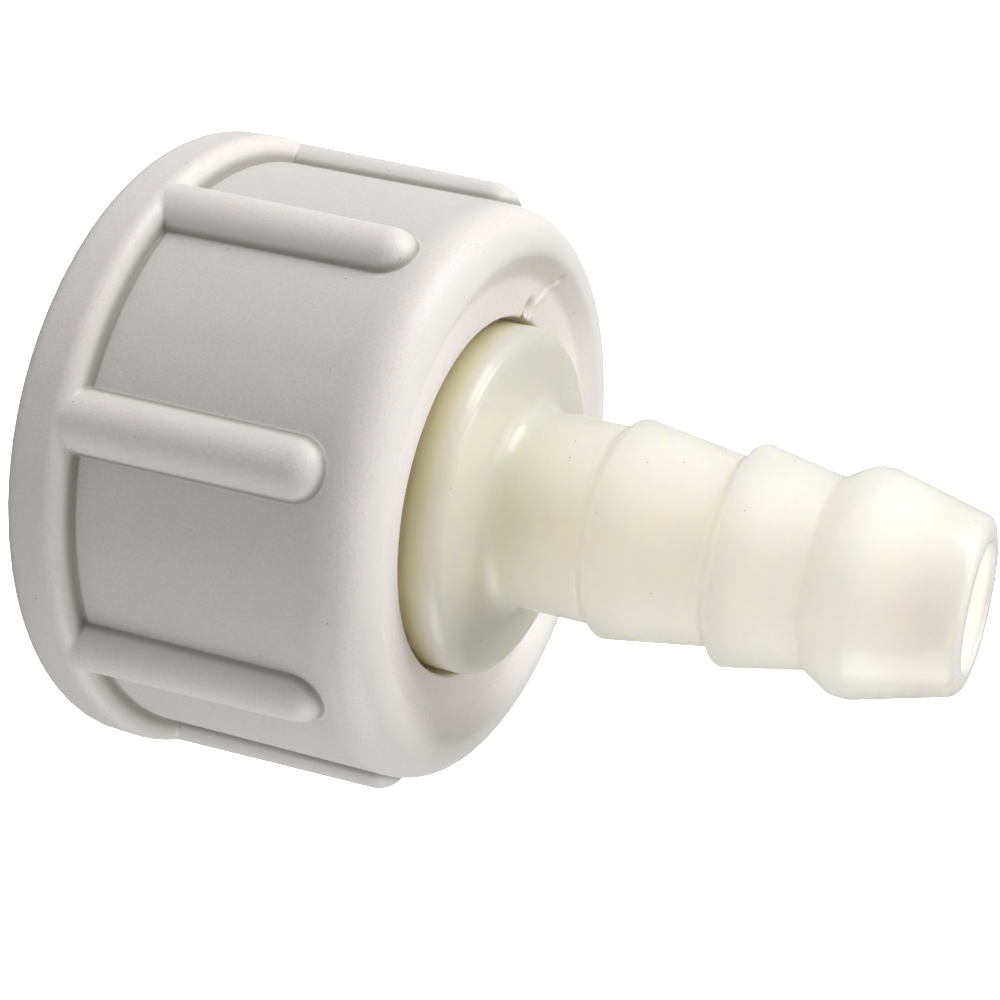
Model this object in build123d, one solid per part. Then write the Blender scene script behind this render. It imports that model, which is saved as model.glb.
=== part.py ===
from build123d import *
import os

# Hose fitting for a washing machine: a ribbed union nut for a 3/4 inch pipe thread, a barbed hose
# tail that swivels in it, and the flat washer that seals the two against the tap.
# It stands on the nut's open end. The origin is the middle of that face, and +Z runs along the
# common axis towards the tip of the tail. Lengths are in millimetres, and each "radius" of an edge
# or corner is its rounding.

# Pipe thread of the tap, major and minor diameter
thread_major_diameter = 26.44
thread_minor_diameter = 24.12

# Union nut
nut_height = 18.8
rim_diameter = 34.0
rim_height = 3.0
rim_edge_radius = 0.8
rim_flank_height = 0.25
body_diameter_at_rim = 31.3
body_diameter_at_front = 30.4
body_root_radius = 0.4
front_corner_radius = 2.0
front_ridge_diameter = 25.6
recess_floor_diameter = 24.3
recess_edge_radius = 0.6
recess_depth = 0.75
recess_dish = 0.2
hole_diameter = 19.1
end_wall_thickness = 2.8
washer_pocket_depth = 5.3
mouth_chamfer = 0.9
sharp_corner_radius = 0.2

# Grip ribs of the nut
rib_count = 8
rib_radius = 1.65
rib_start = 2.2
rib_end = 16.5
rib_crest_at_rim = 16.95
rib_crest_at_front = 16.42
rib_root_radius = 0.2
first_rib_angle = 2.4

# Hose tail
tip_height = 43.7
flange_diameter = 23.6
flange_thickness = 2.4
flange_play = 0.2
inlet_diameter = 13.2
inlet_depth = 8.0
bore_diameter = 6.2
boss_diameter = 18.5
boss_shoulder_height = 19.6
boss_shoulder_radius = 1.0
shank_diameter = 10.36
shank_foot_height = 20.3
shank_foot_radius = 1.3
barb_notch_radius = 0.25
barb_crest_radius = 0.45
last_crest_radius = 1.2
last_crest_land = 0.9
tip_diameter = 8.6
tip_edge_radius = 0.8

# Each barb as notch diameter, notch height, crest diameter and crest height
barbs = [
    (10.36, 25.2, 11.5, 25.85),
    (9.66, 31.4, 11.4, 32.1),
    (9.64, 36.3, 11.4, 37.8),
]

# Sealing washer, drawn at the size that its pocket squeezes it to
washer_thickness = 2.5
washer_hole_diameter = 14.4

# Heights of what is stacked inside the nut, from its end wall down to the thread
recess_floor = nut_height - recess_depth
hole_edge = recess_floor - recess_dish
end_wall_inside = hole_edge - end_wall_thickness
flange_top = end_wall_inside - flange_play
flange_bottom = flange_top - flange_thickness
washer_bottom = flange_bottom - washer_thickness
pocket_bottom = end_wall_inside - washer_pocket_depth
thread_top = pocket_bottom - (thread_major_diameter - thread_minor_diameter) / 2


def revolved(profile):
    # Solid of revolution about Z. Each corner is (diameter, height, rounding).
    corners = [(diameter / 2, height) for diameter, height, _ in profile]
    rounding = [corner for _, _, corner in profile]
    with BuildPart() as body:
        with BuildSketch(Plane.XZ):
            with BuildLine():
                FilletPolyline(corners, radius=rounding, close=True)
            make_face()
        revolve(axis=Axis.Z)
    return body.part


def nut_shell():
    # The nut without its ribs: rim, body, dished front, hole, washer pocket and thread wall.
    return revolved([
        (thread_major_diameter + 2 * mouth_chamfer, 0, sharp_corner_radius),
        (rim_diameter, 0, rim_edge_radius),
        (rim_diameter, rim_height, rim_edge_radius),
        (body_diameter_at_rim, rim_height + rim_flank_height, body_root_radius),
        (body_diameter_at_front, nut_height, front_corner_radius),
        (front_ridge_diameter, nut_height, recess_edge_radius),
        (recess_floor_diameter, recess_floor, recess_edge_radius),
        (hole_diameter, hole_edge, sharp_corner_radius),
        (hole_diameter, end_wall_inside, 0),
        (thread_minor_diameter, end_wall_inside, sharp_corner_radius),
        (thread_minor_diameter, pocket_bottom, 0),
        (thread_major_diameter, thread_top, 0),
        (thread_major_diameter, mouth_chamfer, 0),
    ])


def grip_rib():
    # Half-round rib that starts inside the rim, leans in as the body does and has a ball end.
    length = rib_end - rib_start - rib_radius
    foot = Vector(rib_crest_at_rim - rib_radius, 0, rib_start)
    top = Vector(rib_crest_at_front - rib_radius, 0, rib_end - rib_radius)
    rod = Cylinder(rib_radius, length, align=(Align.CENTER, Align.CENTER, Align.MIN))
    rod += Pos(0, 0, length) * Sphere(rib_radius)
    return Plane(origin=foot, x_dir=(0, 1, 0), z_dir=top - foot) * rod


def union_nut():
    shell = nut_shell()
    rib = grip_rib()
    ribs = [
        Rot(0, 0, first_rib_angle + number * 360 / rib_count) * rib
        for number in range(rib_count)
    ]
    nut = shell + ribs
    roots = new_edges(shell, *ribs, combined=nut)
    return fillet(roots, rib_root_radius)


def hose_tail():
    # Flange inside the nut, boss in the nut's hole, shank and barbs, with the water way through.
    profile = [
        (inlet_diameter, flange_bottom, sharp_corner_radius),
        (flange_diameter, flange_bottom, sharp_corner_radius),
        (flange_diameter, flange_top, sharp_corner_radius),
        (boss_diameter, flange_top, sharp_corner_radius),
        (boss_diameter, boss_shoulder_height, boss_shoulder_radius),
        (shank_diameter, shank_foot_height, shank_foot_radius),
    ]
    for notch_diameter, notch_height, crest_diameter, crest_height in barbs[:-1]:
        profile.append((notch_diameter, notch_height, barb_notch_radius))
        profile.append((crest_diameter, crest_height, barb_crest_radius))
    notch_diameter, notch_height, crest_diameter, crest_height = barbs[-1]
    profile += [
        (notch_diameter, notch_height, barb_notch_radius),
        (crest_diameter, crest_height, last_crest_radius),
        (crest_diameter, crest_height + last_crest_land, last_crest_radius),
        (tip_diameter, tip_height, tip_edge_radius),
        (bore_diameter, tip_height, sharp_corner_radius),
        (bore_diameter, flange_bottom + inlet_depth, 0),
    ]
    return revolved(profile)


def sealing_washer():
    # Flat ring pressed into the nut's pocket, under the flange of the tail.
    return revolved([
        (washer_hole_diameter, washer_bottom, sharp_corner_radius),
        (thread_minor_diameter, washer_bottom, sharp_corner_radius),
        (thread_minor_diameter, flange_bottom, sharp_corner_radius),
        (washer_hole_diameter, flange_bottom, sharp_corner_radius),
    ])


os.makedirs("parts", exist_ok=True)
pieces = {
    "union_nut": union_nut(),
    "hose_tail": hose_tail(),
    "sealing_washer": sealing_washer(),
}
for name, shape in pieces.items():
    export_step(shape, "parts/" + name + ".step")
    print(name, "volume", round(shape.volume, 1), "mm3")
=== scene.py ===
import math

import bpy
import numpy as np
from mathutils import Matrix, Vector


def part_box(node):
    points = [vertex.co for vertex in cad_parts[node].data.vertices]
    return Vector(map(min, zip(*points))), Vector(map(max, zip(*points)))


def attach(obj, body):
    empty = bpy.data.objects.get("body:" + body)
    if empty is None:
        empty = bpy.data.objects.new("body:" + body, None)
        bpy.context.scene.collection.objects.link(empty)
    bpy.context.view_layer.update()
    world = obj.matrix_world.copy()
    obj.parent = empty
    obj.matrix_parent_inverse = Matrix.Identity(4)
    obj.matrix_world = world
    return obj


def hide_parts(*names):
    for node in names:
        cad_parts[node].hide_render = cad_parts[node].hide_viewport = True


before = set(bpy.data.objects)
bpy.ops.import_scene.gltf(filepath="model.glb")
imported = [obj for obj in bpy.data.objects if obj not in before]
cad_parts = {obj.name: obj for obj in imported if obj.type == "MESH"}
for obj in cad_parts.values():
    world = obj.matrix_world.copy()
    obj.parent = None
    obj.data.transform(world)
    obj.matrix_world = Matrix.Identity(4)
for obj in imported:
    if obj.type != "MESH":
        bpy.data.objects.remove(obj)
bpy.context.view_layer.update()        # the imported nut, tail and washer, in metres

mm = 0.001
tiny = 1e-6
farAway = 1e9
tolerance = 0.01         # millimetres within which a point counts as on a surface
print("frame loaded:", sorted(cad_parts))


# Outlines: corners are (radius, height, corner radius) in millimetres

def roundedOutline(corners, arcStep):
    # Open outline with each inner corner rounded by a true arc, in steps of up to arcStep degrees
    leastTurn, leastSteps = 0.01, 3
    points = [corners[0][:2]]
    for before, corner, after in zip(corners, corners[1:], corners[2:]):
        here = Vector(corner[:2])
        back = (Vector(before[:2]) - here).normalized()
        ahead = (Vector(after[:2]) - here).normalized()
        turn = math.pi - back.angle(ahead)
        if corner[2] <= 0 or turn < leastTurn:
            points.append(tuple(here))
            continue
        reach = corner[2] * math.tan(turn / 2)
        middle = here + (back + ahead).normalized() * (corner[2] / math.cos(turn / 2))
        start = here + back * reach - middle
        side = 1 if back.cross(ahead) < 0 else -1
        count = max(leastSteps, math.ceil(math.degrees(turn) / arcStep))
        for i in range(count + 1):
            angle = side * turn * i / count
            cos, sin = math.cos(angle), math.sin(angle)
            points.append((middle.x + start.x * cos - start.y * sin,
                           middle.y + start.x * sin + start.y * cos))
    points.append(corners[-1][:2])
    return points


def divided(points, longest):
    # Splits each straight stretch into steps about as long as longest(radius, height) gives there
    rows = [points[0]]
    for a, b in zip(points, points[1:]):
        length = math.dist(a, b)
        if length < tiny:
            continue
        along = [0.0]
        while along[-1] < 1 - tiny:
            share = along[-1]
            here = (a[0] + (b[0] - a[0]) * share, a[1] + (b[1] - a[1]) * share)
            along.append(share + longest(*here) / length)
        rows += [(a[0] + (b[0] - a[0]) * share / along[-1], a[1] + (b[1] - a[1]) * share / along[-1])
                 for share in along[1:]]
    return rows


def sectionRows(corners, arcStep, longest):
    # Rows once round a closed section, whose last corner is its first
    return np.array(divided(roundedOutline(corners, arcStep), longest)[:-1])


def spunGrid(rows, angles):
    # Radius and height of each row, repeated for each column
    return [np.repeat(rows[:, [side]], len(angles), axis=1) for side in (0, 1)]


def evenAngles(columns):
    return np.linspace(0, 2 * math.pi, columns, endpoint=False)


def turnedMesh(name, radius, height, angles):
    # Closed mesh from a grid of radii and heights, rows by columns; rows run once round the section
    rows, columns = radius.shape
    x = radius * np.cos(angles)
    y = radius * np.sin(angles)
    vertices = np.stack([x, y, height], axis=-1).reshape(-1, 3) * mm
    row, column = np.meshgrid(np.arange(rows), np.arange(columns), indexing="ij")
    nextRow = (row + 1) % rows
    nextColumn = (column + 1) % columns
    faces = np.stack([row * columns + column, row * columns + nextColumn,
                      nextRow * columns + nextColumn, nextRow * columns + column], axis=-1).reshape(-1, 4)
    mesh = bpy.data.meshes.new(name)
    mesh.from_pydata(vertices.tolist(), [], faces.tolist())
    mesh.validate()
    mesh.shade_smooth()
    piece = bpy.data.objects.new(name, mesh)
    bpy.context.scene.collection.objects.link(piece)
    return piece


def outwardNormals(rows):
    # Unit normals of the closed section, out of the material
    ahead = np.roll(rows, -1, axis=0) - np.roll(rows, 1, axis=0)
    ahead /= np.linalg.norm(ahead, axis=1, keepdims=True)
    return np.stack([ahead[:, 1], -ahead[:, 0]], axis=1)


def pathDistance(x, y, path):
    # Distance in plan to a line through (radius, degrees) points
    points = [(r * math.cos(math.radians(a)), r * math.sin(math.radians(a))) for r, a in path]
    best = np.full(x.shape, farAway)
    for (x0, y0), (x1, y1) in zip(points, points[1:]):
        dx, dy = x1 - x0, y1 - y0
        along = np.clip(((x - x0) * dx + (y - y0) * dy) / (dx * dx + dy * dy), 0, 1)
        best = np.minimum(best, np.hypot(x - x0 - along * dx, y - y0 - along * dy))
    return best


def addMarks(radius, height, angles, rows, marks):
    # Raises or sinks the surface along each mark, with soft flanks
    normals = outwardNormals(rows)
    x, y = radius * np.cos(angles), radius * np.sin(angles)
    for mark in marks:
        distance = pathDistance(x, y, mark["path"])
        share = np.clip(1 - distance / (mark["width"] / 2), 0, 1)
        share = share * share * (3 - 2 * share) * mark["rise"] * (height > mark["above"])
        radius = radius + share * normals[:, :1]
        height = height + share * normals[:, 1:]
    return radius, height


# Union nut

_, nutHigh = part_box("union_nut")
nut = {
    "rimRadius": nutHigh.x / mm,
    "height": nutHigh.z / mm,
    "rimHeight": 3.0,
    "rimEdge": 0.8,
    "rimFlank": 0.25,
    "bodyRadiusAtRim": 15.65,
    "bodyRadiusAtFront": 15.2,
    "bodyRoot": 0.12,
    "frontCorner": 2.0,
    "ridgeRadius": 13.0,
    "recessRadius": 11.75,
    "recessEdge": 0.9,
    "recessDepth": 0.75,
    "recessSlope": 0.2,
    "holeRadius": 9.55,
    "endWall": 2.8,
    "pocketDepth": 5.3,
    "mouthChamfer": 0.9,
    "smallCorner": 0.2,
    "ribCount": 8,
    "ribRadius": 1.65,
    "ribTopAtRim": 16.95,
    "ribTopAtFront": 16.42,
    "ribStart": 2.9,
    "ribEnd": 16.5,
    "ribBlend": 0.14,
    "firstRibAngle": 2.4,
    "threadMajorRadius": 13.22,
    "threadMinorRadius": 12.06,
    "threadPitch": 1.814,
    "threadFade": 0.8,
    # Flaws of the front face: a nick at the hole's edge, the ragged flash beyond it and a pit.
    # Each runs through (radius, degrees) points.
    "marks": [
        {"path": [(9.3, -88.2), (10.3, -89.4)], "width": 1.1, "rise": -0.45, "above": 16.5},
        {"path": [(9.8, -93.6), (10.6, -92.6), (10.8, -95.0), (11.3, -97.6), (11.6, -97.4), (12.1, -99.6)],
         "width": 0.4, "rise": 0.08, "above": 17.0},
        {"path": [(10.9, -93.0), (11.5, -95.4), (11.9, -97.2)], "width": 0.3, "rise": -0.06, "above": 17.0},
        {"path": [(12.36, -98.8), (12.42, -99.2)], "width": 0.4, "rise": -0.2, "above": 17.0},
    ],
    "marksFrom": -84.8,
    "marksTo": -104.5,
}

# Steps of the nut's mesh, in millimetres where no other unit is given
nutGrid = {
    "arcStepDegrees": 9.0,
    "longestStep": 0.6,
    "bodyStep": 0.7,
    "ribEndStep": 0.07,
    "growthFromRibEnd": 0.4,
    "pastRibEnd": 0.2,
    "pastRim": 0.6,
    "insideBody": 0.3,
    "aboveRibs": 1.0,
    "rowsPerPitch": 12,
    "besideThread": 0.05,
    "recessStep": 0.2,
    "besideRidge": 0.3,
    # Columns at these arcs from the middle of each rib
    "ribColumns": [0.2, 0.4, 0.6, 0.79, 0.96, 1.12, 1.26, 1.39, 1.5, 1.58, 1.64, 1.69, 1.75, 1.83, 1.96,
                   2.3, 3.2, 4.5],
    "markColumnDegrees": 0.8,
    "closestColumnDegrees": 0.4,
}

# Where the surface that blends shell and ribs is searched for, in millimetres
ribSearch = {
    "insideBody": 0.6,
    "belowRibs": 0.4,
    "aboveRibs": 0.5,
    "belowFront": 0.5,
    "fromShell": 0.02,
    "beyondRim": 0.6,
    "halvings": 26,
}


def nutHeights():
    # Recess floor at its edge, inner face of the end wall, bottom of the washer's pocket, thread's top
    recess = nut["height"] - nut["recessDepth"]
    wallInside = recess - nut["recessSlope"] - nut["endWall"]
    pocketBottom = wallInside - nut["pocketDepth"]
    threadTop = pocketBottom - (nut["threadMajorRadius"] - nut["threadMinorRadius"])
    return recess, wallInside, pocketBottom, threadTop


def nutRows():
    # The nut's section as rows, from the mouth round the outside and back down the bore
    recess, wallInside, pocketBottom, threadTop = nutHeights()
    major, minor = nut["threadMajorRadius"], nut["threadMinorRadius"]
    small = nut["smallCorner"]
    middleOfChamfer = (major + nut["mouthChamfer"] * 0.5, nut["mouthChamfer"] * 0.5, 0)
    corners = [
        middleOfChamfer,
        (major + nut["mouthChamfer"], 0, small),
        (nut["rimRadius"], 0, nut["rimEdge"]),
        (nut["rimRadius"], nut["rimHeight"], nut["rimEdge"]),
        (nut["bodyRadiusAtRim"], nut["rimHeight"] + nut["rimFlank"], nut["bodyRoot"]),
        (nut["bodyRadiusAtFront"], nut["height"], nut["frontCorner"]),
        (nut["ridgeRadius"], nut["height"], nut["recessEdge"]),
        (nut["recessRadius"], recess, nut["recessEdge"]),
        (nut["holeRadius"], recess - nut["recessSlope"], small),
        (nut["holeRadius"], wallInside, 0),
        (minor, wallInside, small),
        (minor, pocketBottom, 0),
        (major, threadTop, 0),
        (major, nut["mouthChamfer"], 0),
        middleOfChamfer,
    ]

    def longest(radius, height):
        onBody = radius > nut["bodyRadiusAtFront"] - nutGrid["insideBody"]
        if onBody and height < nut["ribEnd"] + nutGrid["aboveRibs"]:
            belowEnd = nut["ribEnd"] - nut["ribRadius"] - height
            beyondEnd = height - nut["ribEnd"] - nutGrid["pastRibEnd"]
            beyondRim = height - nut["rimHeight"] - nutGrid["pastRim"]
            away = max(0, min(beyondRim, max(belowEnd, beyondEnd)))
            return min(nutGrid["bodyStep"], nutGrid["ribEndStep"] + nutGrid["growthFromRibEnd"] * away)
        if abs(radius - major) < nutGrid["besideThread"]:
            return nut["threadPitch"] / nutGrid["rowsPerPitch"]
        onFront = height > recess - nut["recessSlope"] - tolerance
        if radius < nut["ridgeRadius"] + nutGrid["besideRidge"] and onFront:
            return nutGrid["recessStep"]
        return nutGrid["longestStep"]

    return sectionRows(corners, nutGrid["arcStepDegrees"], longest)


def nutAngles():
    # Columns crowd together at the flanks of each rib and at the flaws
    pitch = 2 * math.pi / nut["ribCount"]
    inSector = [0.0] + [arc / nut["bodyRadiusAtRim"] for arc in nutGrid["ribColumns"]]
    inSector += [pitch / 2] + [pitch - angle for angle in reversed(inSector[1:])]
    first = math.radians(nut["firstRibAngle"])
    angles = [first + pitch * rib + angle for rib in range(nut["ribCount"]) for angle in inSector]
    atMarks = np.arange(nut["marksTo"], nut["marksFrom"], nutGrid["markColumnDegrees"])
    closest = math.radians(nutGrid["closestColumnDegrees"])
    angles += [angle for angle in np.radians(atMarks) + 2 * math.pi
               if min(abs(angle - other) for other in angles) > closest]
    return np.array(sorted(angles))


def softUnion(a, b, blend):
    h = np.maximum(blend - np.abs(a - b), 0) / blend
    return np.minimum(a, b) - h * h * blend / 4


def shellDistance(radius, height, outline):
    # Signed distance to the nut's outside, negative inside; outline runs upward, material towards the axis
    best = np.full(radius.shape, farAway)
    sign = np.ones(radius.shape)
    for (r0, z0), (r1, z1) in zip(outline, outline[1:]):
        dr, dz = r1 - r0, z1 - z0
        along = np.clip(((radius - r0) * dr + (height - z0) * dz) / (dr * dr + dz * dz), 0, 1)
        offR, offZ = radius - r0 - along * dr, height - z0 - along * dz
        distance = np.hypot(offR, offZ)
        nearer = distance < best
        best = np.where(nearer, distance, best)
        sign = np.where(nearer, np.sign(offR * dz - offZ * dr), sign)
    return best * sign


def ribDistance(radius, height, turn):
    # Distance to the nearest rib: a leaning rod with a ball at each end
    length = nut["ribEnd"] - nut["ribRadius"] - nut["ribStart"]
    foot = np.array([nut["ribTopAtRim"] - nut["ribRadius"], nut["ribStart"]])
    top = np.array([nut["ribTopAtFront"] - nut["ribRadius"], nut["ribStart"] + length])
    axis = top - foot
    across = radius * np.sin(turn)
    outward = radius * np.cos(turn)
    along = np.clip(((outward - foot[0]) * axis[0] + (height - foot[1]) * axis[1]) / (axis @ axis), 0, 1)
    offR = outward - foot[0] - along * axis[0]
    offZ = height - foot[1] - along * axis[1]
    return np.sqrt(offR ** 2 + offZ ** 2 + across ** 2) - nut["ribRadius"]


def ribbedRadius(rows, angles):
    # In the rows that the ribs cross, halves in on the radius where shell and ribs blend
    pitch = 2 * math.pi / nut["ribCount"]
    first = math.radians(nut["firstRibAngle"])
    turn = (angles - first + pitch / 2) % pitch - pitch / 2
    radius, allHeights = spunGrid(rows, angles)
    isOutside = rows[:, 0] > nut["bodyRadiusAtFront"] - ribSearch["insideBody"]
    hasRib = (isOutside & (rows[:, 1] > nut["ribStart"] - ribSearch["belowRibs"])
              & (rows[:, 1] < nut["ribEnd"] + ribSearch["aboveRibs"]))
    belowFront = rows[:, 1] < nut["height"] - ribSearch["belowFront"]
    outline = [tuple(row) for row in rows[isOutside & belowFront]]
    height = allHeights[hasRib]
    low = radius[hasRib] - ribSearch["fromShell"]
    high = np.full(low.shape, nut["rimRadius"] + ribSearch["beyondRim"])
    for _ in range(ribSearch["halvings"]):
        middle = (low + high) / 2
        distance = softUnion(shellDistance(middle, height, outline), ribDistance(middle, height, turn),
                             nut["ribBlend"])
        low = np.where(distance < 0, middle, low)
        high = np.where(distance < 0, high, middle)
    radius[hasRib] = np.minimum(low, nut["rimRadius"])
    return radius


def cutThread(radius, height, angles):
    # Rounded thread form, right-handed, that fades in at the mouth and out at the pocket
    major, minor = nut["threadMajorRadius"], nut["threadMinorRadius"]
    threadTop = nutHeights()[-1]
    phase = height / nut["threadPitch"] - angles / (2 * math.pi)
    ridge = (major - minor) * (0.5 - 0.5 * np.cos(2 * math.pi * phase))
    fadeIn = np.clip((height - nut["mouthChamfer"]) / nut["threadFade"], 0, 1)
    fadeOut = np.clip((threadTop - height) / nut["threadFade"], 0, 1)
    onWall = (np.abs(radius - major) < tolerance) & (height > nut["mouthChamfer"]) & (height < threadTop)
    return np.where(onWall, radius - ridge * np.minimum(fadeIn, fadeOut), radius)


def buildNut():
    rows = nutRows()
    angles = nutAngles()
    _, height = spunGrid(rows, angles)
    radius = cutThread(ribbedRadius(rows, angles), height, angles)
    radius, height = addMarks(radius, height, angles, rows, nut["marks"])
    print("nut:", radius.shape, "grid")
    return turnedMesh("nut_moulding", radius, height, angles)


nutPiece = buildNut()
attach(nutPiece, "nut")
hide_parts("union_nut")


# Hose tail

tailLow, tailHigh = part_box("hose_tail")
tail = {
    "flangeRadius": tailHigh.x / mm,
    "flangeBottom": tailLow.z / mm,
    "flangeThickness": 2.4,
    "tipHeight": tailHigh.z / mm,
    "inletRadius": 6.6,
    "inletDepth": 8.0,
    "boreRadius": 3.1,
    "bossRadius": 9.25,
    "shoulderHeight": 19.6,
    "shoulderRound": 1.0,
    "shankRadius": 5.18,
    "footHeight": 20.3,
    "footRound": 1.3,
    "notchRound": 0.35,
    "crestRound": 0.45,
    "lastCrestRound": 1.2,
    "lastCrestLand": 0.9,
    "tipRadius": 4.3,
    "tipRound": 0.8,
    "smallCorner": 0.2,
    # Radius and height of each barb's notch, then of its crest
    "barbs": [(5.18, 25.2, 5.75, 25.85), (4.83, 31.4, 5.7, 32.1), (4.82, 36.3, 5.7, 37.8)],
    "columns": 256,
    "arcStepDegrees": 8.0,
    "longestStep": 0.5,
    # Finer rows round the ring on the shoulder
    "ringStep": 0.06,
    "ringRadii": (8.5, 9.1),
    "ringAbove": 19.0,
    # Faint ring on the shoulder, a dent in the boss and nicks at the tip
    "marks": [
        {"path": [(8.8, angle) for angle in range(-80, -15, 5)], "width": 0.2, "rise": 0.035, "above": 19.0},
        {"path": [(6.5, -106.0), (6.0, -108.0), (6.1, -112.0)], "width": 0.3, "rise": -0.06, "above": 19.0},
        {"path": [(4.1, 58.0), (4.3, 63.0)], "width": 0.35, "rise": -0.1, "above": 42.0},
        {"path": [(3.9, 70.0), (4.2, 71.0)], "width": 0.3, "rise": -0.08, "above": 42.0},
        {"path": [(4.25, 20.0), (4.3, 24.0)], "width": 0.3, "rise": -0.06, "above": 42.0},
    ],
}


def tailRows():
    # The tail's section as rows, from the flange's underside up the outside and down the bore
    small = tail["smallCorner"]
    flangeTop = tail["flangeBottom"] + tail["flangeThickness"]
    middleOfBottom = ((tail["inletRadius"] + tail["flangeRadius"]) / 2, tail["flangeBottom"], 0)
    corners = [
        middleOfBottom,
        (tail["flangeRadius"], tail["flangeBottom"], small),
        (tail["flangeRadius"], flangeTop, small),
        (tail["bossRadius"], flangeTop, small),
        (tail["bossRadius"], tail["shoulderHeight"], tail["shoulderRound"]),
        (tail["shankRadius"], tail["footHeight"], tail["footRound"]),
    ]
    for notchRadius, notchHeight, crestRadius, crestHeight in tail["barbs"]:
        corners.append((notchRadius, notchHeight, tail["notchRound"]))
        corners.append((crestRadius, crestHeight, tail["crestRound"]))
    lastRadius, lastHeight, _ = corners.pop()
    corners += [
        (lastRadius, lastHeight, tail["lastCrestRound"]),
        (lastRadius, lastHeight + tail["lastCrestLand"], tail["lastCrestRound"]),
        (tail["tipRadius"], tail["tipHeight"], tail["tipRound"]),
        (tail["boreRadius"], tail["tipHeight"], small),
        (tail["boreRadius"], tail["flangeBottom"] + tail["inletDepth"], 0),
        (tail["inletRadius"], tail["flangeBottom"], small),
        middleOfBottom,
    ]

    def longest(radius, height):
        inner, outer = tail["ringRadii"]
        onRing = inner < radius < outer and height > tail["ringAbove"]
        return tail["ringStep"] if onRing else tail["longestStep"]

    return sectionRows(corners, tail["arcStepDegrees"], longest)


def buildTail():
    rows = tailRows()
    angles = evenAngles(tail["columns"])
    radius, height = spunGrid(rows, angles)
    radius, height = addMarks(radius, height, angles, rows, tail["marks"])
    print("tail:", radius.shape, "grid")
    return turnedMesh("tail_moulding", radius, height, angles)


tailPiece = buildTail()
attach(tailPiece, "tail")
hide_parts("hose_tail")


# Sealing washer

washerLow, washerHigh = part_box("sealing_washer")
washer = {
    "outerRadius": washerHigh.x / mm,
    "bottom": washerLow.z / mm,
    "top": washerHigh.z / mm,
    "holeRadius": 7.2,
    "edge": 0.2,
    "columns": 192,
    "arcStepDegrees": 15.0,
    "longestStep": 0.5,
}


def buildWasher():
    middle = ((washer["outerRadius"] + washer["holeRadius"]) / 2, washer["bottom"], 0)
    corners = [
        middle,
        (washer["outerRadius"], washer["bottom"], washer["edge"]),
        (washer["outerRadius"], washer["top"], washer["edge"]),
        (washer["holeRadius"], washer["top"], washer["edge"]),
        (washer["holeRadius"], washer["bottom"], washer["edge"]),
        middle,
    ]
    rows = sectionRows(corners, washer["arcStepDegrees"], lambda radius, height: washer["longestStep"])
    angles = evenAngles(washer["columns"])
    radius, height = spunGrid(rows, angles)
    print("washer:", radius.shape, "grid")
    return turnedMesh("washer_ring", radius, height, angles)


washerPiece = buildWasher()
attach(washerPiece, "nut")
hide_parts("sealing_washer")


# Materials

def newMaterial(name):
    material = bpy.data.materials.new(name)
    material.use_nodes = True
    shader = material.node_tree.nodes["Principled BSDF"]
    return material, material.node_tree, shader


def setSockets(node, values):
    for socket, value in values.items():
        node.inputs[socket].default_value = value


def link(tree, fromNode, output, toNode, socket):
    tree.links.new(fromNode.outputs[output], toNode.inputs[socket])


def newNode(tree, kind, **settings):
    node = tree.nodes.new(kind)
    for key, value in settings.items():
        setattr(node, key, value)
    return node


def newGroup(name, inputs, outputs):
    # Node group whose sockets are all plain numbers, and its output node
    group = bpy.data.node_groups.new(name, "ShaderNodeTree")
    for direction, names in (("INPUT", inputs), ("OUTPUT", outputs)):
        for socket in names:
            group.interface.new_socket(socket, in_out=direction, socket_type="NodeSocketFloat")
    return group, newNode(group, "NodeGroupOutput")


def mixColours(tree, factor, first, second):
    # Factor is an output, and each colour an output or a tuple; the numbers are a colour mix's own sockets
    mix = newNode(tree, "ShaderNodeMix", data_type="RGBA")
    for socket, value in ((0, factor), (6, first), (7, second)):
        if isinstance(value, tuple):
            mix.inputs[socket].default_value = value
        else:
            tree.links.new(value, mix.inputs[socket])
    return mix.outputs[2]


def addBump(tree, shader, source, output, depth):
    bump = newNode(tree, "ShaderNodeBump")
    setSockets(bump, {"Distance": depth})
    link(tree, source, output, bump, "Height")
    link(tree, bump, "Normal", shader, "Normal")


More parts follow.
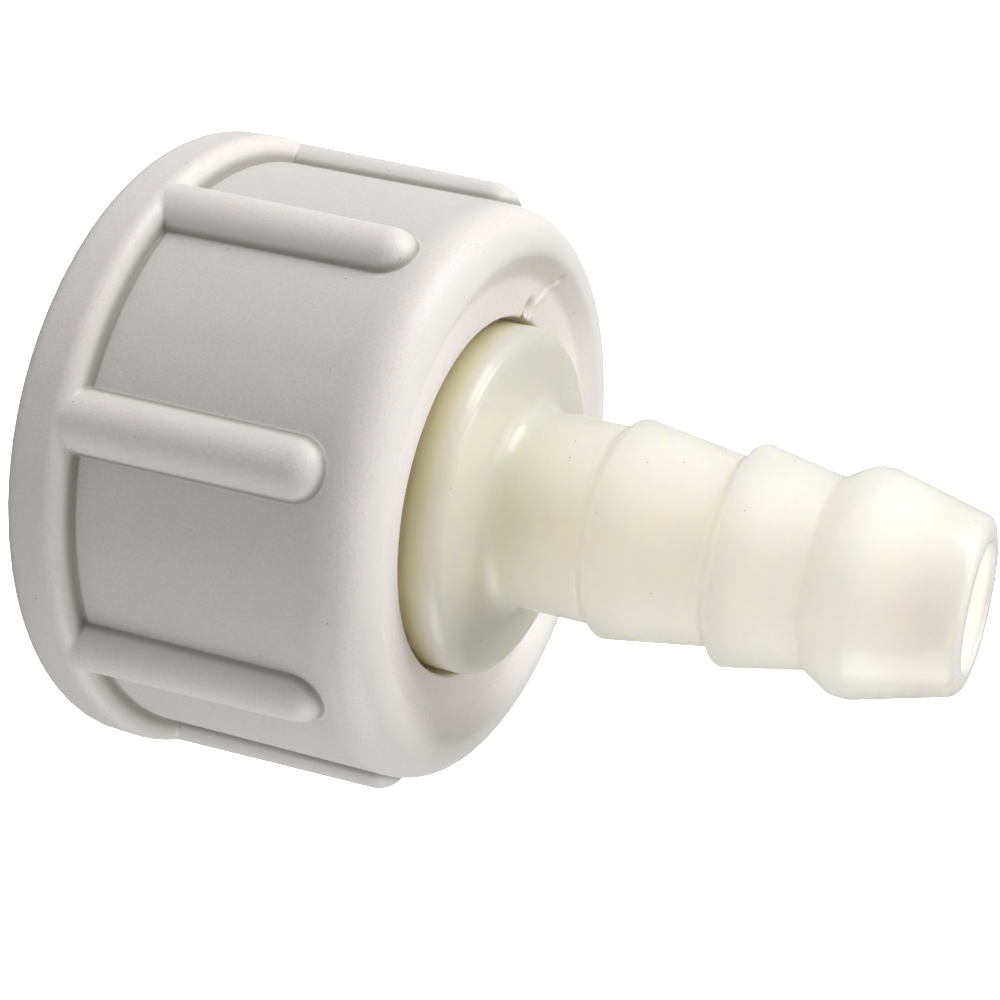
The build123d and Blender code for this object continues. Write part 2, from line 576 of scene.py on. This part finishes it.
def mouldedSkinGroup():
    # Mottling, fine grain and stray specks of a moulded plastic, in object space
    inputs = ("Mottle Scale", "Grain Scale", "Speck Scale", "Speck Size", "Speck Share")
    group, outside = newGroup("mouldedSkin", inputs, ("Mottle", "Grain", "Specks"))
    inside = newNode(group, "NodeGroupInput")
    place = newNode(group, "ShaderNodeTexCoord")
    mottle = newNode(group, "ShaderNodeTexNoise")
    grain = newNode(group, "ShaderNodeTexNoise")
    cells = newNode(group, "ShaderNodeTexVoronoi")
    setSockets(mottle, {"Detail": 3.0})
    setSockets(grain, {"Detail": 2.0})
    for texture in (mottle, grain, cells):
        link(group, place, "Object", texture, "Vector")
    link(group, inside, "Mottle Scale", mottle, "Scale")
    link(group, inside, "Grain Scale", grain, "Scale")
    link(group, inside, "Speck Scale", cells, "Scale")
    # Each cell's own chance number picks the few cells with a speck, and sizes it
    chance = newNode(group, "ShaderNodeSeparateColor")
    picked = newNode(group, "ShaderNodeMath", operation="SUBTRACT")
    spread = newNode(group, "ShaderNodeMath", operation="DIVIDE")
    sized = newNode(group, "ShaderNodeMath", operation="MULTIPLY")
    speck = newNode(group, "ShaderNodeMath", operation="LESS_THAN")
    link(group, cells, "Color", chance, "Color")
    link(group, inside, "Speck Share", picked, 0)
    link(group, chance, "Red", picked, 1)
    link(group, picked, 0, spread, 0)
    link(group, inside, "Speck Share", spread, 1)
    link(group, spread, 0, sized, 0)
    link(group, inside, "Speck Size", sized, 1)
    link(group, cells, "Distance", speck, 0)
    link(group, sized, 0, speck, 1)
    link(group, mottle, "Fac", outside, "Mottle")
    link(group, grain, "Fac", outside, "Grain")
    link(group, speck, 0, outside, "Specks")
    return group


mouldedSkin = mouldedSkinGroup()


def skinNode(tree, values):
    node = newNode(tree, "ShaderNodeGroup", node_tree=mouldedSkin)
    setSockets(node, values)
    return node


nutFinish = {
    "light": (0.665, 0.662, 0.628, 1),
    "dark": (0.61, 0.597, 0.582, 1),
    # Lighter colours of the ribs, rim and front corner: painted highlight, where the raised parts catch the
    # light
    "raisedHighlightLight": (0.82, 0.775, 0.745, 1),
    "raisedHighlightDark": (0.75, 0.70, 0.685, 1),
    "grainLight": (0.70, 0.687, 0.662, 1),
    # Dark brown in the rib feet and at the rim's root: painted shade in the creases
    "creaseShade": (0.19, 0.165, 0.135, 1),
    "creaseShadeShare": 0.66,
    "speck": (0.34, 0.31, 0.28, 1),
    "skin": {"Mottle Scale": 260.0, "Grain Scale": 6500.0, "Speck Scale": 1500.0, "Speck Size": 0.08,
             "Speck Share": 0.3},
    "grainRange": {"From Min": 0.35, "From Max": 0.75},
    "grainDepth": 0.000012,
    "plastic": {"Roughness": 0.45, "IOR": 1.49, "Subsurface Weight": 0.2,
                "Subsurface Radius": (1.0, 0.8, 0.7), "Subsurface Scale": 0.0005},
    # In millimetres. Where the masks of painted highlight and painted shade begin and end, above the body's
    # cone:
    "raisedHighlightFrom": (0.2, 1.0),
    "creaseShadeFrom": (0.0, 0.07),
    "creaseShadeTo": (0.1, 0.5),
    "rimFlank": (0.15, 0.75),
    # and by height, for the painted highlight on the front corner, the painted shade at the root of the rim
    # and the fade of the painted shade beyond the ribs' ends
    "cornerHighlightFrom": (15.8, 17.2),
    "cornerHighlightTo": (18.2, 18.8),
    "rimRootShade": (3.28, 3.5),
    "creaseShadeFade": 0.4,
    # Share of the painted highlight colours that the front face keeps
    "frontHighlightShare": 0.45,
}


def highlightAndShadeGroup():
    # How far a point of the nut stands out from the body's cone: masks for the painted highlight on what is
    # raised and for the painted shade in creases
    group, outside = newGroup("nutHighlightAndShade", (), ("Raised Highlight", "Crease Shade"))
    place = newNode(group, "ShaderNodeTexCoord")
    axes = newNode(group, "ShaderNodeSeparateXYZ")
    inPlan = newNode(group, "ShaderNodeVectorMath", operation="MULTIPLY")
    inPlan.inputs[1].default_value = (1, 1, 0)
    radius = newNode(group, "ShaderNodeVectorMath", operation="LENGTH")
    link(group, place, "Object", axes, "Vector")
    link(group, place, "Object", inPlan, 0)
    link(group, inPlan, 0, radius, 0)

    def stepped(source, output, start, end, low=0.0, high=1.0, smooth=True):
        kind = "SMOOTHSTEP" if smooth else "LINEAR"
        step = newNode(group, "ShaderNodeMapRange", interpolation_type=kind)
        setSockets(step, {"From Min": start * mm, "From Max": end * mm, "To Min": low, "To Max": high})
        link(group, source, output, step, "Value")
        return step

    def combined(operation, first, second):
        node = newNode(group, "ShaderNodeMath", operation=operation)
        link(group, first, 0, node, 0)
        link(group, second, 0, node, 1)
        return node

    cone = stepped(axes, "Z", nut["rimHeight"], nut["height"], nut["bodyRadiusAtRim"] * mm,
                   nut["bodyRadiusAtFront"] * mm, False)
    above = newNode(group, "ShaderNodeMath", operation="SUBTRACT")
    link(group, radius, "Value", above, 0)
    link(group, cone, 0, above, 1)
    ribsAndRim = stepped(above, 0, *nutFinish["raisedHighlightFrom"])
    cornerIn = stepped(axes, "Z", *nutFinish["cornerHighlightFrom"])
    cornerOut = stepped(axes, "Z", *nutFinish["cornerHighlightTo"], 1, nutFinish["frontHighlightShare"])
    raisedHighlight = combined("MAXIMUM", ribsAndRim, combined("MULTIPLY", cornerIn, cornerOut))
    # Painted shade along the feet of the ribs, fading out beyond their ends
    leavesBody = stepped(above, 0, *nutFinish["creaseShadeFrom"])
    reachesTop = stepped(above, 0, *nutFinish["creaseShadeTo"], 1, 0)
    belowCorner = stepped(axes, "Z", nut["ribEnd"], nut["ribEnd"] + nutFinish["creaseShadeFade"], 1, 0)
    ribFeetShade = combined("MULTIPLY", combined("MULTIPLY", leavesBody, reachesTop), belowCorner)
    # Painted shade at the root of the rim, across its flank
    rimRootShade = stepped(axes, "Z", *nutFinish["rimRootShade"], 1, 0)
    rimFlank = stepped(above, 0, *nutFinish["rimFlank"], 1, 0)
    creaseShade = combined("MAXIMUM", ribFeetShade, combined("MULTIPLY", rimRootShade, rimFlank))
    link(group, raisedHighlight, 0, outside, "Raised Highlight")
    link(group, creaseShade, 0, outside, "Crease Shade")
    return group


def nutMaterial():
    material, tree, shader = newMaterial("nutPlastic")
    skin = skinNode(tree, nutFinish["skin"])
    lightAndShadeMasks = newNode(tree, "ShaderNodeGroup", node_tree=highlightAndShadeGroup())
    panel = mixColours(tree, skin.outputs["Mottle"], nutFinish["dark"], nutFinish["light"])
    # Painted highlight: the raised parts and the front corner take the lighter colours
    edge = mixColours(tree, skin.outputs["Mottle"], nutFinish["raisedHighlightDark"], nutFinish["raisedHighlightLight"])
    body = mixColours(tree, lightAndShadeMasks.outputs["Raised Highlight"], panel, edge)
    grain = newNode(tree, "ShaderNodeMapRange")
    setSockets(grain, nutFinish["grainRange"])
    link(tree, skin, "Grain", grain, "Value")
    grained = mixColours(tree, grain.outputs["Result"], body, nutFinish["grainLight"])
    # Painted shade: the creases at the rib feet and the rim's root are darkened
    creaseShadeAmount = newNode(tree, "ShaderNodeMath", operation="MULTIPLY")
    creaseShadeAmount.inputs[1].default_value = nutFinish["creaseShadeShare"]
    link(tree, lightAndShadeMasks, "Crease Shade", creaseShadeAmount, 0)
    shadedInCreases = mixColours(tree, creaseShadeAmount.outputs[0], grained, nutFinish["creaseShade"])
    colour = mixColours(tree, skin.outputs["Specks"], shadedInCreases, nutFinish["speck"])
    tree.links.new(colour, shader.inputs["Base Color"])
    addBump(tree, shader, skin, "Grain", nutFinish["grainDepth"])
    setSockets(shader, nutFinish["plastic"])
    return material


tailFinish = {
    # Colour by height in millimetres. Darker and more olive where the boss sinks into the nut: painted shade
    # for the light that gets in less there. Greyer at the tip's end: painted shade that dims the tip where
    # the lamps light it most
    "coloursAndShade": [
        (17.9, (0.68, 0.61, 0.36, 1)),
        (18.6, (0.83, 0.79, 0.59, 1)),
        (19.0, (0.91, 0.895, 0.79, 1)),
        (19.8, (0.90, 0.89, 0.78, 1)),
        (21.3, (0.97, 0.935, 0.81, 1)),
        (24.5, (0.98, 0.943, 0.85, 1)),
        (36.0, (0.985, 0.955, 0.885, 1)),
        (39.5, (0.975, 0.948, 0.89, 1)),
        (42.0, (0.86, 0.845, 0.81, 1)),
    ],
    "speck": (0.36, 0.33, 0.25, 1),
    "skin": {"Mottle Scale": 160.0, "Grain Scale": 2500.0, "Speck Scale": 1400.0, "Speck Size": 0.065,
             "Speck Share": 0.5},
    "mottleDepth": 0.00002,
    "plastic": {"Roughness": 0.5, "IOR": 1.5, "Subsurface Weight": 1.0, "Transmission Weight": 0.4,
                "Coat Weight": 0.35, "Coat Roughness": 0.14, "Subsurface Radius": (1.0, 0.9, 0.6),
                "Subsurface Scale": 0.0025},
}


def tailMaterial():
    material, tree, shader = newMaterial("tailPlastic")
    skin = skinNode(tree, tailFinish["skin"])
    coordinates = newNode(tree, "ShaderNodeTexCoord")
    axes = newNode(tree, "ShaderNodeSeparateXYZ")
    along = newNode(tree, "ShaderNodeMapRange")
    lowest, highest = tail["flangeBottom"], tail["tipHeight"]
    setSockets(along, {"From Min": lowest * mm, "From Max": highest * mm})
    colourAndShadeRamp = newNode(tree, "ShaderNodeValToRGB")
    stops = colourAndShadeRamp.color_ramp.elements
    stops.remove(stops[1])
    for number, (place, colour) in enumerate(tailFinish["coloursAndShade"]):
        share = (place - lowest) / (highest - lowest)
        stop = stops[0] if number == 0 else stops.new(share)
        stop.position = share
        stop.color = colour
    link(tree, coordinates, "Object", axes, "Vector")
    link(tree, axes, "Z", along, "Value")
    # The ramp's low olive stops and its greyer tip stop are painted shade
    link(tree, along, "Result", colourAndShadeRamp, "Fac")
    colour = mixColours(tree, skin.outputs["Specks"], colourAndShadeRamp.outputs["Color"], tailFinish["speck"])
    tree.links.new(colour, shader.inputs["Base Color"])
    addBump(tree, shader, skin, "Mottle", tailFinish["mottleDepth"])
    setSockets(shader, tailFinish["plastic"])
    return material


washerFinish = {
    "dark": (0.018, 0.018, 0.018, 1),
    "light": (0.035, 0.034, 0.033, 1),
    "skin": {"Mottle Scale": 500.0, "Grain Scale": 9000.0, "Speck Scale": 900.0, "Speck Size": 0.05,
             "Speck Share": 0.1},
    "grainDepth": 0.00003,
    "rubber": {"Roughness": 0.7, "IOR": 1.5},
}


def washerMaterial():
    material, tree, shader = newMaterial("washerRubber")
    skin = skinNode(tree, washerFinish["skin"])
    colour = mixColours(tree, skin.outputs["Mottle"], washerFinish["dark"], washerFinish["light"])
    tree.links.new(colour, shader.inputs["Base Color"])
    addBump(tree, shader, skin, "Grain", washerFinish["grainDepth"])
    setSockets(shader, washerFinish["rubber"])
    return material


dressed = (("union_nut", nutPiece, nutMaterial()), ("hose_tail", tailPiece, tailMaterial()),
           ("sealing_washer", washerPiece, washerMaterial()))
for node, piece, material in dressed:
    piece.data.materials.append(material)
    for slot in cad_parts[node].material_slots:
        slot.material = material
print("materials made")


# Floor, light and camera

studio = {
    "floorSize": 3.0,
    "floorPaper": {"Base Color": (0.42, 0.42, 0.42, 1), "Roughness": 0.9, "Specular IOR Level": 0.0,
                   "Emission Color": (1, 1, 1, 1)},
    "floorGlow": 0.12,
    "floorLift": 3.4,
    # The lift seen through the tail starts at this share of the rim's radius
    "liftFrom": 0.9,
    "air": (1, 1, 1, 1),
    "backdrop": 3.85,
    "fill": 0.34,
    "softboxes": [
        # name, place, width, watts
        ("keySoftbox", (0.055, -0.345, 0.26), 0.24, 1.42),
        ("lowSoftbox", (-0.03, 0.38, 0.19), 0.30, 0.8),
        ("frontSoftbox", (-0.12, -0.15, 0.42), 0.22, 0.52),
    ],
}


def seenLevel(tree, unseen, seen, throughPiece=None):
    # The value seen for a ray straight from the camera, or through a clear piece times throughPiece,
    # and the value unseen for any other ray
    path = newNode(tree, "ShaderNodeLightPath")
    through = newNode(tree, "ShaderNodeMath", operation="MULTIPLY")
    through.inputs[1].default_value = 1
    link(tree, path, "Is Transmission Ray", through, 0)
    if throughPiece:
        link(tree, throughPiece, 0, through, 1)
    either = newNode(tree, "ShaderNodeMath", operation="MAXIMUM")
    link(tree, path, "Is Camera Ray", either, 0)
    link(tree, through, 0, either, 1)
    level = newNode(tree, "ShaderNodeMapRange")
    setSockets(level, {"To Min": unseen, "To Max": seen})
    link(tree, either, 0, level, "Value")
    return level


def buildFloor():
    half = studio["floorSize"] / 2
    mesh = bpy.data.meshes.new("floor")
    corners = [(-half, -half, 0), (half, -half, 0), (half, half, 0), (-half, half, 0)]
    mesh.from_pydata(corners, [], [(0, 1, 2, 3)])
    floor = bpy.data.objects.new("floor", mesh)
    bpy.context.scene.collection.objects.link(floor)
    material, tree, shader = newMaterial("floorPaper")
    setSockets(shader, studio["floorPaper"])
    # The paper reads as white in the picture and through the translucent tail, and none of that light
    # comes up inside the nut
    coordinates = newNode(tree, "ShaderNodeTexCoord")
    reach = newNode(tree, "ShaderNodeVectorMath", operation="LENGTH")
    link(tree, coordinates, "Object", reach, 0)
    clear = newNode(tree, "ShaderNodeMapRange")
    rimRadius = nut["rimRadius"] * mm
    setSockets(clear, {"From Min": rimRadius * studio["liftFrom"], "From Max": rimRadius})
    link(tree, reach, "Value", clear, "Value")
    lift = seenLevel(tree, studio["floorGlow"], studio["floorLift"], clear)
    link(tree, lift, 0, shader, "Emission Strength")
    mesh.materials.append(material)


def buildLights():
    for name, place, width, watts in studio["softboxes"]:
        light = bpy.data.lights.new(name, "AREA")
        light.shape = "DISK"
        light.size = width
        light.energy = watts
        softbox = bpy.data.objects.new(name, light)
        softbox.location = place
        aim = Vector((0, 0, nut["height"] * mm)) - softbox.location
        softbox.rotation_mode = "QUATERNION"
        softbox.rotation_quaternion = aim.to_track_quat("-Z", "Y")
        bpy.context.scene.collection.objects.link(softbox)
    world = bpy.data.worlds.new("studioAir")
    world.use_nodes = True
    tree = world.node_tree
    background = tree.nodes["Background"]
    setSockets(background, {"Color": studio["air"]})
    strength = seenLevel(tree, studio["fill"], studio["backdrop"])
    link(tree, strength, "Result", background, "Strength")
    bpy.context.scene.world = world
    bpy.context.scene.view_settings.view_transform = "Standard"


# The camera stands level with the photograph's: the fitting's axis runs to the right and a little down
cameraPlace = {
    "watched": Vector((0, 0, 0.015)),
    "polarAngle": 65.3,
    "distance": 0.0981,
    "axisDip": 12.66,
    "focalPixels": 1846.0,
    "pictureSize": 1000.0,
    "watchedPixel": (437.9, 486.4),
    "opticalCentre": (500.0, 460.0),
    "sensorWidth": 36,
    "clipStart": 0.01,
}


def buildCamera():
    polar = math.radians(cameraPlace["polarAngle"])
    dip = math.radians(cameraPlace["axisDip"])
    view = Vector((math.sin(polar), 0, math.cos(polar)))
    forward = -view
    axis = (Vector((0, 0, 1)) - view * view.z).normalized()
    right = axis * math.cos(dip) - forward.cross(axis) * math.sin(dip)
    down = forward.cross(right)
    square = Matrix((right, -down, -forward)).transposed()
    # The watched point stands a little off the optical axis
    across, below = [(pixel - centre) / cameraPlace["focalPixels"]
                     for pixel, centre in zip(cameraPlace["watchedPixel"], cameraPlace["opticalCentre"])]
    offAxis = Vector((across, -below, -1)).rotation_difference(Vector((0, 0, -1))).to_matrix()
    lens = bpy.data.cameras.new("photoCamera")
    lens.sensor_width = cameraPlace["sensorWidth"]
    lens.lens = cameraPlace["focalPixels"] * lens.sensor_width / cameraPlace["pictureSize"]
    lens.shift_x = 0.5 - cameraPlace["opticalCentre"][0] / cameraPlace["pictureSize"]
    lens.shift_y = cameraPlace["opticalCentre"][1] / cameraPlace["pictureSize"] - 0.5
    lens.clip_start = cameraPlace["clipStart"]
    camera = bpy.data.objects.new("photoCamera", lens)
    camera.matrix_world = (Matrix.Translation(cameraPlace["watched"] + view * cameraPlace["distance"])
                           @ (square @ offAxis).to_4x4())
    bpy.context.scene.collection.objects.link(camera)
    bpy.context.scene.camera = camera


buildFloor()
buildLights()
buildCamera()
print("floor, light and camera set")

bpy.context.view_layer.update()
